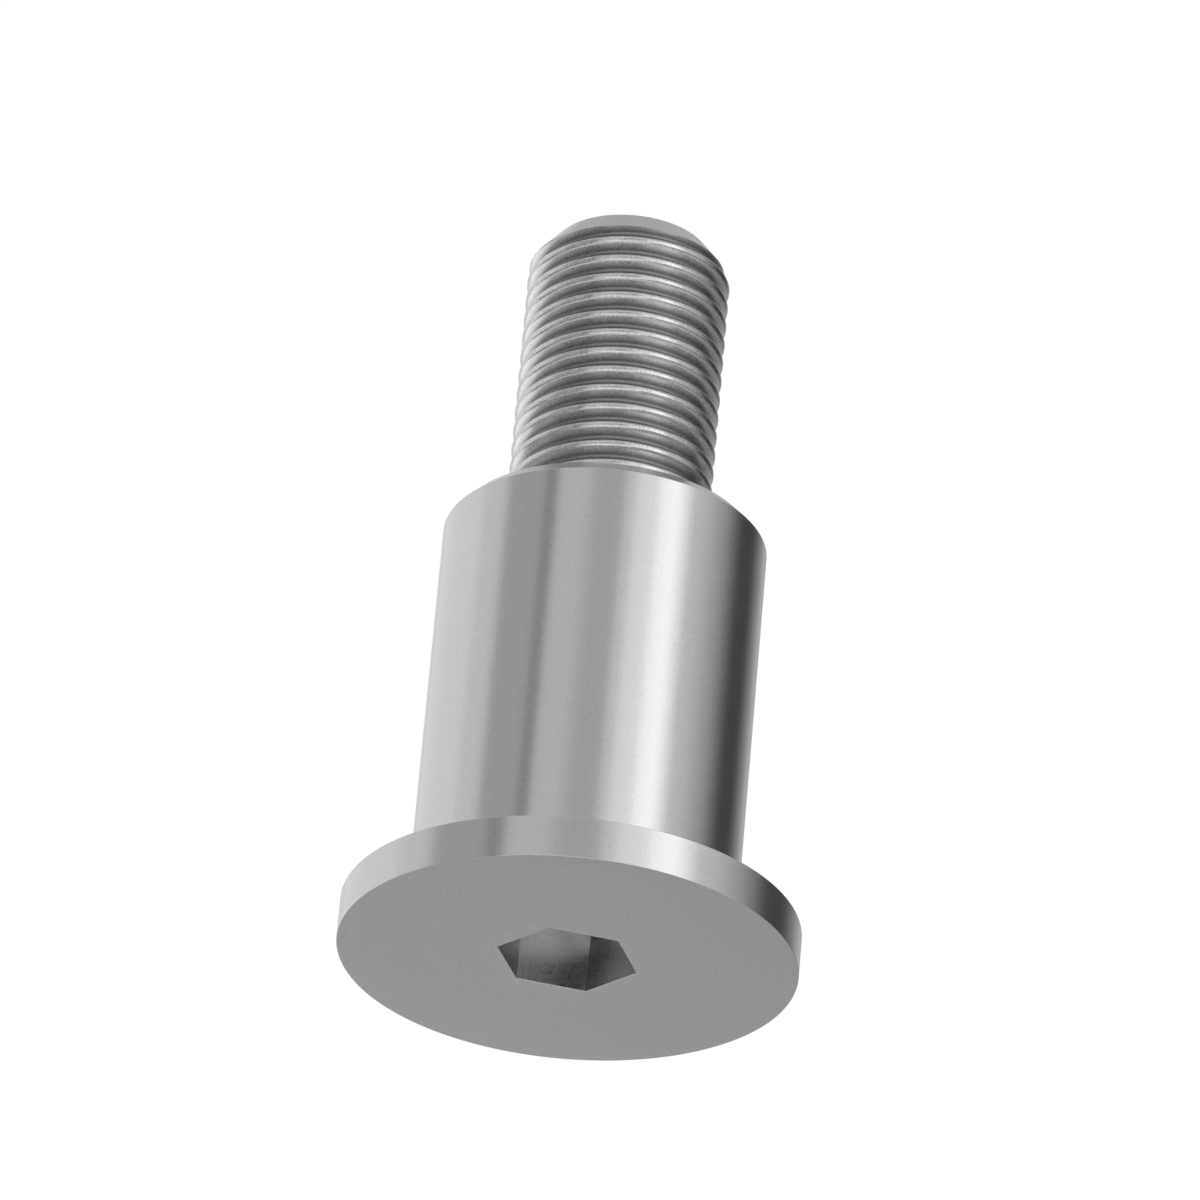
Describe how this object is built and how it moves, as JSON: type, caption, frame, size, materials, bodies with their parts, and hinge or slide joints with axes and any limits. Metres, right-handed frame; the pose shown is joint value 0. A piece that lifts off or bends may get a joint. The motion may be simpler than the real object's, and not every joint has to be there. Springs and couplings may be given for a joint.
{
  "type": "low head shoulder screw",
  "caption": "Shoulder screw with a thin round head, a hex socket and a threaded end.",
  "frame": {"origin": "centre of the head's flat face, which the screw stands on", "axes": "+Z along the screw's axis towards the tip of the thread, +X through one corner of the hex socket"},
  "size_m": [0.0266, 0.0266, 0.0468],
  "materials": {
    "steel": "fine turned, satin"
  },
  "bodies": {
    "root": {"screw": "steel"}
  },
  "joints": []
}
